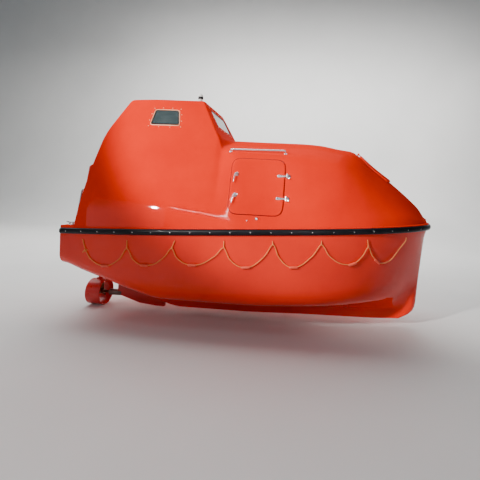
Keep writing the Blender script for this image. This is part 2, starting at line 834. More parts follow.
STEEL = finish(
    "stainless_steel", (206, 204, 200), (176, 176, 178), (0.14, 0.3), (0.1, 80, 0.0006),
    ((130, 110, 92), 0.25), metallic=1.0, scale=9,
)
TUBE_STEEL = finish(
    "weathered_steel", (128, 112, 104), (96, 84, 80), (0.35, 0.6), (0.35, 45, 0.0015),
    ((92, 60, 44), 0.5), metallic=0.6, scale=8,
)
BRONZE = finish(
    "bronze", (120, 84, 52), (84, 60, 44), (0.28, 0.5), (0.25, 40, 0.001),
    ((60, 52, 44), 0.5), metallic=0.9, scale=9,
)
LINER = finish(
    "cabin_liner", (206, 204, 194), (190, 188, 180), (0.4, 0.6), (0.2, 25, 0.002),
    ((150, 144, 132), 0.35), scale=3,
)
WHITE = finish(
    "white_plastic", (232, 232, 226), (216, 216, 210), (0.2, 0.34), (0.1, 50, 0.0006),
    ((190, 184, 170), 0.3), coat=0.3, scale=12,
)
DARK = finish(
    "dark_fittings", (30, 30, 32), (42, 42, 44), (0.35, 0.55), (0.2, 50, 0.001),
    ((70, 68, 64), 0.35), scale=7,
)
VINYL = finish(
    "seat_vinyl", (26, 32, 44), (36, 42, 54), (0.38, 0.5), (0.35, 120, 0.0012),
    ((58, 62, 70), 0.3), scale=6,
)
FLOAT_FINISH = finish(
    "float_plastic", (252, 100, 72), (238, 84, 60), (0.3, 0.45), (0.2, 60, 0.001),
    ((170, 60, 44), 0.35), scale=9,
)
SCREW_ORANGE = finish(
    "screw_caps", (255, 176, 138), (250, 156, 116), (0.2, 0.34), (0.1, 60, 0.0005),
    ((214, 110, 70), 0.3), coat=0.4, scale=12,
)
ROPE = rope_finish()
GLASS = glass_finish()

# The record's material slot that each finish goes by
SLOT_OF = {
    ORANGE: "orange_gelcoat", RED: "red_paint", RUBBER: "fender_rubber", SEAL: "dark_fittings",
    CHROME: "chrome", STEEL: "stainless_steel", TUBE_STEEL: "stainless_steel", BRONZE: "bronze",
    WHITE: "white_plastic", DARK: "dark_fittings", VINYL: "dark_fittings", FLOAT_FINISH: "rope",
    SCREW_ORANGE: "white_plastic", ROPE: "rope",
}
SIDES = ("starboard", "port")


def set_finish(obj, material):
    obj.data.materials.clear()
    obj.data.materials.append(material)


def place_piece(obj, material, body="boat", node=None, slot=None):
    """Gives a piece its finish, body and slot, and the CAD node that it stands for."""
    set_finish(obj, material)
    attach(obj, body)
    if node:
        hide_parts(node)
    slot or SLOT_OF[material]
    return obj


def piece(name, parts, material, body="boat", node=None, slot=None, angle=32):
    return place_piece(joined(name, parts, angle), material, body, node, slot)


def both_pieces(name, parts, material, body="boat", node=None, slot=None):
    """The same piece on both sides, from its starboard parts. The side's name stands in for the sign %."""
    for side in SIDES:
        side_parts = parts if side == "starboard" else mirrored_parts(parts)
        side_body = body.replace("%", side)
        side_node = node and node.replace("%", side)
        piece(name.replace("%", side), side_parts, material, side_body, side_node, slot)


# Camera
yaw_right = Vector((math.cos(CAMERA_YAW), math.sin(CAMERA_YAW), 0))
yaw_ahead = Vector((-math.sin(CAMERA_YAW), math.cos(CAMERA_YAW), 0))
above = Vector((0, 0, 1))
camera_right = yaw_right * math.cos(CAMERA_ROLL) + above * math.sin(CAMERA_ROLL)
camera_up = above * math.cos(CAMERA_ROLL) - yaw_right * math.sin(CAMERA_ROLL)
camera_data = bpy.data.cameras.new("camera")
camera_data.lens = CAMERA_LENS
camera_data.sensor_width = 36
camera_data.shift_x, camera_data.shift_y = CAMERA_SHIFT
camera = link(bpy.data.objects.new("camera", camera_data))
camera_turn = Matrix((camera_right, camera_up, -yaw_ahead)).transposed().to_4x4()
camera.matrix_world = Matrix.Translation(CAMERA_PLACE) @ camera_turn
bpy.context.scene.camera = camera


# Grab lines: a rope in seven loops with a float in each, lashed below eyes in the hull
def eye_foot(eye):
    """Where the rope meets the underside of an eye."""
    x, y, z, _ = eye
    return Vector((x * MM, -(y + EYE_PROUD) * MM, (z - EYE_SIZE / 2) * MM - EYE_GRIP * MM))


def rope_path():
    route = [Vector(p) for p in ROPE_ROUTE]
    first = eye_foot(EYES[0])
    return [first, first.lerp(route[0], 0.5)] + smooth_path(route, 8) + [eye_foot(EYES[-1])]


def rope_curve(name, path):
    curve = bpy.data.curves.new(name, "CURVE")
    curve.dimensions = "3D"
    curve.bevel_depth = ROPE_DIAMETER / 2
    curve.bevel_resolution = 4
    curve.use_fill_caps = True
    spline = curve.splines.new("POLY")
    spline.points.add(len(path) - 1)
    for point, place in zip(spline.points, path):
        point.co = (*place, 1)
    return link(bpy.data.objects.new(name, curve))


def float_parts(path):
    parts = []
    end = [(0, -55), (7, -55), (12, -52), (16, -44), (17, -34)]
    profile = end + [(r, -h) for r, h in reversed(end)]
    for x in FLOATS_X:
        i = min(range(1, len(path) - 1), key=lambda k: abs(path[k].x - x))
        parts.append(turned(profile, aim(path[i], path[i + 1] - path[i - 1]), 20))
    return parts


def lashing_parts():
    """Short lines from each eye to the rope, with whipping round the rope where they meet it."""
    parts = []
    for eye in EYES[1:-1]:
        foot = Vector(ROPE_ROUTE[eye[3]])
        drop = eye_foot(eye) - foot
        parts.append(tube_parts([foot + drop * (i / 6) for i in range(7)], ROPE_DIAMETER / 2, 10))
        for turn in range(3):
            place = aim(foot + drop.normalized() * (0.004 + 0.007 * turn), drop)
            parts.append(turned([(8.5, -3), (9.5, 0), (8.5, 3)], place, 12))
    return parts


def knot_parts(path):
    """A knot with two short tails near the after end of the line."""
    knot = min(range(len(path)), key=lambda k: abs(path[k].z - KNOT_Z))
    middle = path[knot]
    along = (path[knot + 1] - path[knot - 1]).normalized()
    across = along.cross(Vector((0, -1, 0))).normalized()
    parts = []
    for i in range(3):
        place = aim(middle + along * (0.012 * (i - 1)), along + across * (0.5 if i % 2 else -0.5))
        parts.append(turned([(11, -6), (16, 0), (11, 6)], place, 14))
    for sign in (-1, 1):
        steps = ((0.012, 0), (0.028, 0.004), (0.04, 0.018))
        tail = [middle + across * (sign * out) - above * drop for out, drop in steps]
        parts.append(tube_parts(smooth_path(tail, 4), ROPE_DIAMETER / 2, 8))
    return parts


def grab_line(side, sign):
    starboard_path = rope_path()
    path = [Vector((p.x, sign * p.y, p.z)) for p in starboard_path]
    rope = place_piece(rope_curve(f"grab_line_{side}_rope", path), ROPE, "boat", f"grab_line_{side}")
    for name, parts, material in (
        ("floats", float_parts(starboard_path), FLOAT_FINISH),
        ("lashings", lashing_parts(), ROPE),
        ("knot", knot_parts(starboard_path), ROPE),
    ):
        own = parts if sign > 0 else mirrored_parts(parts)
        piece(f"grab_line_{side}_{name}", own, material, angle=40)


grab_line("starboard", 1)
grab_line("port", -1)

# Hull shell
hull_shell = mesh_object("hull_shell", *skin_faces([hull_ring(x) for x in hull_stations]))
hollow_stations = even_stations(AFT_X, HOLLOW_FORE_X, 110) + [HOLLOW_FORE_X]
hull_hollow = inner_skin(
    "hull_hollow", [hull_hollow_ring(x) for x in hollow_stations], HULL_WALL * MM, FLANGE_OVERLAP * MM
)
stock_bore = joined("stock_bore", [turned([(30, -400), (30, 100)], at(NOZZLE_X, 0, 0))])
carve(hull_shell, [hull_hollow, stock_bore])
place_piece(hull_shell, ORANGE, "boat", "hull")

# Canopy shell with its tower and the surround of the aft hatch
canopy_shell = mesh_object("canopy_shell", *skin_faces([canopy_ring(x) for x in canopy_stations]))
CANOPY_HOLLOW_X = [
    -2310, -2206, -2084, -1800, -1500, -1200, -1000, -765, -503, -410, -300, -180, 0, 300, 600, 850,
    1100, 1320, 1500, 1680, 1850, 2000, HOLLOW_FORE_X,
]
canopy_hollow = inner_skin(
    "canopy_hollow", [canopy_ring(x) for x in CANOPY_HOLLOW_X], CANOPY_WALL * MM, -FLANGE_OVERLAP * MM
)


def surround_block():
    up = aft_face_place.col[1].to_3d()
    out = aft_face_place.col[2].to_3d()
    origin = aft_face_place.translation
    half = SURROUND["half"]
    section = [
        (SURROUND["low"], -30), (SURROUND["low"], SURROUND["proud"]), (SURROUND["high"], SURROUND["proud"]),
        (SURROUND["top"], 5), (SURROUND["top"], -30),
    ]
    rings = []
    for side in (-half, half):
        rings.append([(origin + up * u + out * n + Vector((0, side, 0))) * MM for u, n in section])
    block = mesh_object("surround_block", *skin_faces(rings))
    round_edges(block, 0.03, 5, 25)
    apply_modifiers(block)
    return block


carve(canopy_shell, [surround_block()], "UNION")
side_hatch_cut = prism("side_hatch_cut", hatch_place, hatch_outline(SIDE_HATCH, -HATCH_GAP), *CUT_SPAN)
side_window_cut = prism("side_window_cut", side_window_place, window_outline(SIDE_WINDOW), *CUT_SPAN)
carve(canopy_shell, [
    canopy_hollow,
    side_hatch_cut, mirrored_object(side_hatch_cut, "port_hatch_cut"),
    side_window_cut, mirrored_object(side_window_cut, "port_window_cut"),
    prism("front_window_cut", front_window_place, window_outline(FRONT_WINDOW), *CUT_SPAN),
    prism("aft_window_cut", aft_window_place, window_outline(AFT_WINDOW), *CUT_SPAN),
    prism("aft_hatch_cut", aft_hatch_place, hatch_outline(AFT_HATCH, -HATCH_GAP), -340, 40),
    prism("bow_hatch_cut", bow_hatch_place, bow_outline(45), -260, 260),
])
place_piece(canopy_shell, ORANGE, "boat", "canopy")


# Panels that follow the canopy's surface
def height_over(place, canopy_point):
    """A function that gives the height of the canopy above a panel's plane."""

    def height(u, v):
        point = place @ Vector((u, v, 0))
        return (canopy_point(point) - point).dot(place.col[2].to_3d())

    return height


side_surface = height_over(hatch_place, lambda p: side_point(p.x, p.z))
bow_surface = height_over(bow_hatch_place, lambda p: top_point(p.x, p.y))
window_surface = height_over(side_window_place, lambda p: side_point(p.x, p.z))


def flat(u, v):
    return 0


def surface_rings(place, outline_of, surface, steps):
    """Rings of an outline over a surface, from each step's inset and height."""
    return [
        [(place @ Vector((p.x, p.y, surface(p.x, p.y) + height))) * MM for p in outline_of(inset)]
        for inset, height in steps
    ]


def rounded_edge(height, reach, steps=5):
    """Inset and height of each step of a rounded edge that ends at a height."""
    turn = [math.pi / 2 * i / steps for i in range(steps + 1)]
    return [(reach * (1 - math.cos(t)), height - reach + reach * math.sin(t)) for t in turn]


def round_section(inset, height, reach):
    return [(inset + reach * c, height + reach * s) for c, s in circle(8)]


def panel_parts(place, outline_of, surface, back, profile, insets):
    """A closed panel. profile gives its edge as inset and height, insets the rings of its face and back."""
    steps = [(inset, back) for inset in reversed(insets)] + [(0, back)] + profile
    steps += [(inset, profile[-1][1]) for inset in insets]
    return skin_faces(surface_rings(place, outline_of, surface, steps))


def ring_parts(place, outline_of, surface, section):
    """A closed band along an outline, from its section as inset and height."""
    return closed_band(surface_rings(place, outline_of, surface, section))


def side_hatch_outline(inset):
    return hatch_outline(SIDE_HATCH, inset, 14)


side_insets = (26, 50, 90, 140, 190, 240, 290, 325)
side_lid = panel_parts(hatch_place, side_hatch_outline, side_surface, -28, rounded_edge(14, 9), side_insets)
both_pieces("hatch_lid_%", [side_lid], ORANGE, "%_hatch", "hatch_%")
bow_lid = panel_parts(
    bow_hatch_place, lambda inset: bow_outline(inset, 14), bow_surface, 7, rounded_edge(28, 12),
    (30, 60, 100, 150, 190, 225),
)
aft_lid = panel_parts(
    aft_hatch_place, lambda inset: hatch_outline(AFT_HATCH, inset), flat, -32, rounded_edge(8, 8),
    (40, 120, 200),
)
seal_section = round_section(-HATCH_GAP / 2, -0.5, 4.3)
hatch_seal = ring_parts(hatch_place, side_hatch_outline, side_surface, seal_section)
both_pieces("hatch_seal_%", [hatch_seal], SEAL, "%_hatch")


# Windows: panes keep their own nodes, with a seal and a moulded rim round each opening
RIM_SECTION = [(0.3, -8), (0.3, 3), (-2, 5.5), (-6, 6), (-11, 4.5), (-15, -3)]


def screw_row(spec, place, surface, offset, per_side, radius=8, height=7):
    corners = outline_corners(spec["bottom"], spec["top"], spec["height"], -offset)
    pull = 0.3 * spec["round"]
    profile = [(radius, 0), (radius, 0.45 * height), (0.75 * radius, 0.85 * height), (0.2, height)]
    parts = []
    for i in range(4):
        start = corners[i]
        nearer = start - Vector((math.copysign(pull, start.x), math.copysign(pull, start.y)))
        for p in [nearer] + points_between(start, corners[(i + 1) % 4], per_side[i % 2]):
            spot = place @ Vector((p.x, p.y, surface(p.x, p.y) - 1))
            parts.append(turned(profile, Matrix.Translation(spot * MM) @ place.to_3x3().to_4x4(), 14))
    return parts


def window_pieces(name, make, spec, place, surface, rim_finish, offset, per_side):
    """Seal, rim and screws of a window. make adds a piece, or one on each side."""

    def shape(inset):
        return window_outline(spec, inset)

    make(f"window_seal_{name}", [ring_parts(place, shape, flat, round_section(5, -3.4, 4.4))], SEAL)
    make(f"window_rim_{name}", [ring_parts(place, shape, surface, RIM_SECTION)], rim_finish)
    make(f"window_screws_{name}", screw_row(spec, place, surface, offset, per_side), SCREW_ORANGE)


window_pieces("%", both_pieces, SIDE_WINDOW, side_window_place, window_surface, SCREW_ORANGE, 34, (2, 2))
window_pieces("front", piece, FRONT_WINDOW, front_window_place, flat, ORANGE, 30, (4, 1))
window_pieces("aft", piece, AFT_WINDOW, aft_window_place, flat, ORANGE, 30, (4, 1))


# Bands along the sheer: the rounded fender, and the ledge where the canopy's flange lies on the hull's
def sheer_path(x):
    """A point of the starboard sheer and the outward direction there, in millimetres."""
    if x >= STEM_X - 0.5:
        return Vector((STEM_X, 0, sheer_z(STEM_X))), Vector((1, 0, 0))
    step = 3
    ahead = min(STEM_X, x + step)
    slope = (sheer_breadth(ahead) - sheer_breadth(x - step)) / (ahead - x + step)
    return Vector((x, -sheer_breadth(x), sheer_z(x))), Vector((-slope, -1, 0)).normalized()


def sheer_band(name, section):
    """A band from the after end round the stem and back. The section is distance out and height."""

    def ring(x, sign):
        place, outward = sheer_path(x)
        points = [place + outward * out + Vector((0, 0, height)) for out, height in section]
        return [Vector((p.x, sign * p.y, p.z)) * MM for p in points]

    stations = even_stations(FENDER_AFT_X, BOW_START_X, 90) + [BOW_START_X] + bow_stations(60)
    rings = [ring(x, 1) for x in stations] + [ring(x, -1) for x in reversed(stations[:-1])]
    return mesh_object(name, *skin_faces(rings))


lower_shares = [
    (0.0, -0.5), (0.3, -0.5), (0.5, -0.49), (0.68, -0.44), (0.83, -0.35), (0.94, -0.22), (0.98, -0.1),
]
fender_shares = lower_shares + [(0.97, 0.0)] + [(out, -height) for out, height in reversed(lower_shares)]
fender_section = [(out * FENDER_PROUD, height * FENDER_HEIGHT) for out, height in fender_shares]
place_piece(sheer_band("fender_band", fender_section), RUBBER, "boat", "fender")


def fender_screws():
    """Screws a quarter of a metre apart along the starboard fender."""
    samples = [FENDER_AFT_X + i * 5 for i in range(int((STEM_X - FENDER_AFT_X) / 5))]
    run = 0.0
    due = FIRST_SCREW
    parts = []
    for before, x in zip(samples, samples[1:]):
        run += (sheer_path(x)[0] - sheer_path(before)[0]).length
        if run >= due:
            due += SCREW_PITCH
            place, outward = sheer_path(x)
            spot = (place + outward * (FENDER_PROUD * 0.95)) * MM
            parts.append(turned([(8.5, 0), (8.5, 1.5), (6, 3), (0.3, 3.5)], aim(spot, outward), 14))
    return parts


both_pieces("fender_screws_%", fender_screws(), STEEL)
ledge_section = [(-2, 38), (16, 38), (20, 40), (21, 43), (19, 47), (14, 50), (-2, 53)]
place_piece(sheer_band("flange_ledge", ledge_section), ORANGE)

# Hinges and dogs of the side hatches
SIDE_PIN = dict(from_edge=36, out=30, upper=146, lower=-140)
DOG = dict(from_edge=74, upper=148, lower=-118, lever=112)
BARREL = [(8.4, -18), (11.5, -18), (13, -16.5), (13, 16.5), (11.5, 18), (8.4, 18)]
LUG = [(0, -4.5), (12, -4.5), (13, -3.5), (13, 3.5), (12, 4.5), (0, 4.5)]
LUG_OUT = 23.5
LUG_HALF = 4.4
hatch_half = SIDE_HATCH["width"] / 2


def on_hatch(u, v, n):
    return hatch_place @ Vector((u, v, n)) * MM


def hatch_frame(u, v, n, axis="out"):
    """A matrix at a point of the hatch plane whose Z leaves the hatch, or runs up along it."""
    place = hatch_place @ Matrix.Rotation(-math.pi / 2, 4, "X") if axis == "up" else hatch_place
    return Matrix.Translation(on_hatch(u, v, n)) @ place.to_3x3().to_4x4()


def hatch_plate(shape, base, edge, top):
    return domed_plate(shape, lambda p, height: on_hatch(p.x, p.y, height), base, edge, top)


def strap_parts(v):
    pin_u = hatch_half + SIDE_PIN["from_edge"]
    tip_u = pin_u - 112
    shape = []
    for i in range(21):
        turn = math.pi * (0.5 + i / 20)
        shape.append(Vector((tip_u + 20 * math.cos(turn), v + 19 * math.sin(turn))))
    waist_halves = ((0.25, 17), (0.5, 12), (0.75, 10), (1.0, 11))
    waist = [(mix(tip_u, pin_u - 6, share), half) for share, half in waist_halves]
    shape += [Vector((u, v - half)) for u, half in waist]
    shape += [Vector((u, v + half)) for u, half in reversed(waist)]
    base = side_surface(hatch_half, v) + 14.4
    neck_height = SIDE_PIN["out"] - base
    parts = [
        hatch_plate(shape, base, 4, 9),
        hatch_plate(oblong(pin_u, v, -30, 4, 9), base + 2, max(2, neck_height - 6), neck_height + 4),
        turned(BARREL, hatch_frame(pin_u, v, SIDE_PIN["out"], "up"), 28),
    ]
    for u in (tip_u - 4, tip_u + 22):
        parts.append(turned([(5.5, 0), (5.5, 2), (3.6, 3.6), (0, 4)], hatch_frame(u, v, base + 6.4), 14))
    return parts


def base_parts(v):
    pin_u = hatch_half + SIDE_PIN["from_edge"]
    rise = side_surface(pin_u, v)
    out = SIDE_PIN["out"]
    seat = [(0, -1), (31, -1), (31, 3), (28, 6), (18, 8), (0, 9)]
    parts = [turned(seat, hatch_frame(pin_u + 8, v, rise))]
    for sign in (-1, 1):
        middle = v + sign * LUG_OUT
        parts.append(turned(LUG, hatch_frame(pin_u, middle, out, "up"), 24))
        parts.append(hatch_plate(oblong(pin_u, middle, -12, 12, LUG_HALF), rise, out - rise - 2, out - rise))
    pin = [(0, -32), (6, -31), (8.5, -28), (7, -27.5), (7, 27.5), (8.5, 28), (6, 31), (0, 32)]
    return parts + [turned(pin, hatch_frame(pin_u, v, out, "up"), 20)]


def dog_parts(v):
    u = DOG["from_edge"] - hatch_half
    rise = side_surface(u, v) + 14
    boss = [(0, -1), (27, -1), (27, 3), (24, 6), (15, 9), (12, 14), (11.5, 26), (13, 29), (10, 33), (0, 34)]
    start = Vector((u + 10, v + 3, rise + 24))
    shoulder = Vector((u - 14, v - 6, rise + 29))
    tip = Vector((u - 32, v - DOG["lever"], rise + 31))
    path = smooth_path([start, shoulder, shoulder.lerp(tip, 0.5), tip], 6)

    def reach(share):
        return mix(8.5, 6, share) * min(1, 0.35 + 3 * share, 0.4 + 8 * (1 - share))

    points, faces = tube_parts(path, reach, 14)
    return [turned(boss, hatch_frame(u, v, rise)), ([on_hatch(*p) for p in points], faces)]


for level in ("upper", "lower"):
    pin_v = SIDE_PIN[level]
    both_pieces(f"hinge_plate_%_{level}", strap_parts(pin_v), CHROME, "%_hatch", f"hinge_strap_%_{level}")
    both_pieces(f"hinge_seat_%_{level}", base_parts(pin_v), CHROME, "boat", f"hinge_base_%_{level}")
    both_pieces(f"dog_handle_%_{level}", dog_parts(DOG[level]), CHROME, "%_hatch", f"dog_%_{level}")


# Hinges of the bow and aft hatches
def strap_hinge(pin, to_panel, along, out, drop, body, name, material):
    """A barrel hinge: its strap rides on the lid and its seat on the boat. Lengths are millimetres."""

    def on_pin(offset=0.0):
        turn = Matrix((out, along.cross(out), along)).transposed().to_4x4()
        return Matrix.Translation((pin + along * offset) * MM) @ turn

    def place_of(p, height):
        return (pin + to_panel * p.x + along * p.y + out * height) * MM

    shape = [Vector(p) for p in ((-2, -17), (86, -17), (98, -9), (98, 9), (86, 17), (-2, 17))]
    strap = [turned(BARREL, on_pin(), 24), domed_plate(shape, place_of, -drop, 5, 8)]
    piece(f"{name}_strap", strap, material, body)
    seat = []
    for offset in (-LUG_OUT, LUG_OUT):
        lug_shape = oblong(0, offset, -12, 12, LUG_HALF)
        seat.append(turned(LUG, on_pin(offset), 20))
        seat.append(domed_plate(lug_shape, place_of, -drop - 10, drop + 8, drop + 10))
    seat.append(turned([(0, -31), (7, -29), (7, 29), (0, 31)], on_pin(), 20))
    piece(f"{name}_seat", seat, material)


aft_u, aft_v, aft_n = (aft_hatch_place.col[i].to_3d() for i in range(3))
across = Vector((0, 1, 0))
AFT_PIN = dict(along=AFT_HATCH["height"] / 2 + 34, out=24, reach=190)
BOW_PIN = dict(from_edge=34, out=20, reach=110)
for side, sign in (("starboard", 1), ("port", -1)):
    pin = aft_hatch_place @ Vector((sign * AFT_PIN["reach"], AFT_PIN["along"], AFT_PIN["out"]))
    strap_hinge(pin, -aft_v, aft_u, aft_n, 16, "aft_hatch", f"aft_hinge_{side}", CHROME)
    edge_x = (bow_hatch_place @ Vector((-BOW_HATCH["length"] / 2, 0, 0))).x
    y = -sign * BOW_PIN["reach"]
    pin_top = top_point(edge_x - BOW_PIN["from_edge"], y)
    to_panel = (top_point(edge_x + BOW_PIN["from_edge"], y) - pin_top).normalized()
    out = to_panel.cross(across)
    pin = pin_top + out * BOW_PIN["out"]
    strap_hinge(pin, to_panel, across, out, 3, "bow_hatch", f"bow_hinge_{side}", ORANGE)
piece("bow_hatch_lid", [bow_lid], ORANGE, "bow_hatch", "hatch_bow")
piece("aft_hatch_lid", [aft_lid], ORANGE, "aft_hatch", "hatch_aft")


def aft_handle_parts():
    """The lever that closes the aft hatch, near its lower edge."""
    boss = [(0, -1), (24, -1), (24, 3), (12, 8), (11, 22), (0, 24)]
    place = aft_hatch_place @ Matrix.Translation((0, -AFT_HATCH["height"] / 2 + 60, AFT_HATCH["proud"]))
    handle_place = Matrix.Translation(place.translation * MM) @ place.to_3x3().to_4x4()
    route = ((0.008, 0, 0.019), (-0.05, -0.004, 0.024), (-0.115, -0.01, 0.026))
    path = smooth_path([handle_place @ Vector(p) for p in route], 5)
    return [turned(boss, handle_place, 24), tube_parts(path, 0.0065, 12)]


piece("aft_hatch_handle", aft_handle_parts(), CHROME, "aft_hatch")


# Grab rails over the side hatches, and upright rails beside the aft hatch
RAIL_RADIUS = 0.011
GRAB_RAIL_FEET = ((-285, -768), (435, -780))
GRAB_RAIL_LEAN = math.radians(39)
AFT_RAIL = dict(y=600, low=125, high=445, out=60)


def grab_rail_parts():
    out = Vector((0, -math.sin(GRAB_RAIL_LEAN), math.cos(GRAB_RAIL_LEAN)))
    feet = [top_point(*foot) for foot in GRAB_RAIL_FEET]
    corners = [feet[0] + out * -2, feet[0] + out * 38, feet[1] + out * 50, feet[1] + out * -2]
    parts = [tube_parts(rounded_route([p * MM for p in corners], 0.024, 7), RAIL_RADIUS, 16)]
    profile = [(0, -4), (20, -4), (20, 4), (17, 7), (12.5, 8), (11.5, 14)]
    return parts + [turned(profile, aim(foot * MM, out), 24) for foot in feet]


def aft_rail_parts():
    def on_face(v, n):
        return (aft_face_place @ Vector((AFT_RAIL["y"], v, SURROUND["proud"] + 0.3 + n))) * MM

    low, high, reach = AFT_RAIL["low"], AFT_RAIL["high"], AFT_RAIL["out"]
    corners = [on_face(low, 0), on_face(low, reach), on_face(high, reach), on_face(high, 0)]
    parts = [tube_parts(rounded_route(corners, 0.03, 7), RAIL_RADIUS, 16)]
    out = aft_face_place.col[2].to_3d()
    profile = [(0, 0), (20, 0), (20, 5), (17, 7.5), (12.5, 8), (11.5, 12)]
    return parts + [turned(profile, aim(on_face(v, 0), out), 24) for v in (low, high)]


both_pieces("grab_bar_%", grab_rail_parts(), CHROME, "boat", "grab_rail_%", "stainless_steel")
both_pieces("aft_bar_%", aft_rail_parts(), STEEL, "boat", "aft_rail_%")


# Cleats and the aft hook on the low deck
CLEAT_X, CLEAT_Y = -2424, -745
AFT_HOOK_X = -2418


def cleat_parts():
    x, y = CLEAT_X, CLEAT_Y
    z = top_point(x, y).z + 0.6
    top = z + 48

    def spot(dx, dy, height):
        return Vector((x + dx, y + dy, height)) * MM

    base_shape = [Vector((42 * c, 17 * s)) for c, s in circle(28)]
    base = domed_plate(base_shape, lambda p, height: spot(p.x, p.y, height), z, 5, 9)
    leg = [(11, 0), (8.5, 8), (7.5, 24), (8.5, 38)]
    horn = [spot(dx, 0, top - drop) for dx, drop in ((-67, 3), (-40, 7), (0, 9), (40, 7), (67, 3))]
    parts = [base, tube_parts(smooth_path(horn, 5), 0.008, 14)]
    for dx in (-22, 22):
        parts.append(turned(leg, Matrix.Translation(spot(dx, 0, z + 3)), 18))
    return parts


both_pieces("deck_cleat_%", cleat_parts(), STEEL, "boat", "cleat_%_aft")


def aft_hook_parts():
    x, z = AFT_HOOK_X, DECK_AFT_Z + 4.3
    shape = outline(120, 120, 200, 24, 0, 3, 6)
    base = domed_plate(shape, lambda p, height: Vector((x + p.x, p.y, height)) * MM, z, 11, 14)
    parts = [base, torus_parts(along_boat(x, z + 42), 0.024, 0.010)]
    for dx in (-40, 40):
        for y in (-76, 76):
            parts.append(turned([(9, 0), (9, 6), (7, 8), (0, 8.5)], at(x + dx, y, z + 11.5), 6))
    return parts


piece("aft_hook_plate", aft_hook_parts(), STEEL, "boat", "aft_hook")


# Small fittings: an eye and a stud under each side hatch
SIDE_EYE = dict(x=137, z=800)
SIDE_STUD = dict(x=20, z=770)


def on_side(x, z):
    return aim(side_point(x, z) * MM, side_facing(x, z))


eye_profile = [(0, -3), (20, -3), (20, 3), (15, 9), (9, 14), (8, 24), (12, 30), (0, 36)]
stud_profile = [(0, -2), (9, -2), (8, 4), (0, 7)]
side_eye = [turned(eye_profile, on_side(**SIDE_EYE), 24), turned(stud_profile, on_side(**SIDE_STUD), 16)]
both_pieces("side_eye_%", side_eye, CHROME)

# Lamp on the roof: a white foot, a black band and a white dome
LAMP_X, LAMP_Y = -850, -400
lamp_place = at(LAMP_X, LAMP_Y, ROOF_Z + 0.3)
lamp_foot = [(0, 0), (38, 0), (38, 7), (33, 12), (28, 16), (27, 34), (27, 38), (0, 38)]
piece("lamp_foot", [turned(lamp_foot, lamp_place)], WHITE, "boat", "lamp")
lamp_band = [(0, 38), (30, 38), (35, 44), (35, 67), (30, 71), (0, 71)]
piece("lamp_band", [turned(lamp_band, lamp_place)], DARK)
lamp_dome = [(0, 71), (33, 71), (33, 80), (30, 92), (24, 104), (15, 112), (6, 117), (0, 118)]
piece("lamp_dome", [turned(lamp_dome, lamp_place)], WHITE)


# Stern gear
def nozzle_parts():
    profile = [
        (180, -116), (183, -116), (189, -114), (192, -110), (194, -60), (196, 0), (199, 60), (200, 100),
        (199, 110), (196, 115), (191, 116), (187, 113), (184, 104), (180.5, 60), (180, 0),
    ]
    rings = []
    for c, s in circle(96):
        rings.append([Vector((NOZZLE_X + h, -r * s, SHAFT_Z + r * c)) * MM for r, h in profile])
    palm = [(0, 0), (46, 0), (46, 18), (42, 24), (26, 28), (20, 34), (20, 382), (0, 382)]
    return [closed_band(rings), turned(palm, at(NOZZLE_X, 0, SHAFT_Z + 187), 36)]


piece("nozzle_ring", nozzle_parts(), RED, "steering_nozzle", "steering_nozzle")


def blade_parts(turn):
    """A propeller blade whose chord, pitch and thickness change from the hub to the tip."""
    hub, tip = 30, 167
    spin = Matrix.Rotation(turn, 4, "X")
    rings = []
    steps = 14
    for i in range(steps + 1):
        share = i / steps
        radius = mix(hub, tip, share)
        tip_round = min(1, math.sqrt(max(0.03, (1.02 - share) / 0.25)))
        chord = (96 - 46 * (share - 0.35) ** 2 - 28 * max(0, share - 0.7)) * tip_round
        pitch = math.radians(mix(58, 24, share))
        half = 11 * (1 - 0.55 * share) * min(1, math.sqrt(max(0.05, (1.01 - share) / 0.12)))
        ring = []
        for c, s in circle(20):
            a = 0.5 * chord * c
            b = 0.5 * half * s
            x = a * math.sin(pitch) + b * math.cos(pitch)
            y = a * math.cos(pitch) - b * math.sin(pitch)
            spot = spin @ Vector((x, y, math.sqrt(max(0, radius**2 - y**2))))
            ring.append((spot + Vector((PROPELLER_X, 0, SHAFT_Z))) * MM)
        rings.append(ring)
    return skin_faces(rings)


propeller_hub = [(0, -103), (10, -102), (22, -90), (32, -70), (38, -52), (38, 50), (34, 55), (20, 56)]
propeller_hub += [(20, 220), (0, 220)]
propeller_parts = [turned(propeller_hub, along_boat(PROPELLER_X, SHAFT_Z), 36)]
propeller_parts += [blade_parts(2 * math.pi * i / 3) for i in range(3)]
piece("propeller_blades", propeller_parts, BRONZE, "propeller", "propeller")


def skeg_parts():
    """A skeg with rounded edges. Its upper edge lies just inside the hull's bottom."""
    path = [(-2120, -528), (-1945, -584), (-1770, -640), (-1635, -654), (-1500, -668), (-1380, -668)]
    for x in (-1380, -1500, -1640, -1780, -1920, -2040, -2120):
        keel_z = table_row(HULL_TABLE, x)[6]
        path.append((x, min(keel_z + 26, keel_z * 0.9)))
    path = [Vector(p) for p in path]
    middle = sum(path, Vector((0, 0))) / len(path)
    rings = []
    edge = [(-38, 12), (-36.5, 5), (-33, 1.5), (-27, 0)]
    for y, inset in edge + [(-y, inset) for y, inset in reversed(edge)]:
        ring = []
        for p in path:
            to_middle = middle - p
            moved = p + to_middle.normalized() * min(inset * 1.3, to_middle.length * 0.4)
            ring.append(Vector((moved.x, y, moved.y)) * MM)
        rings.append(ring)
    return skin_faces(rings)


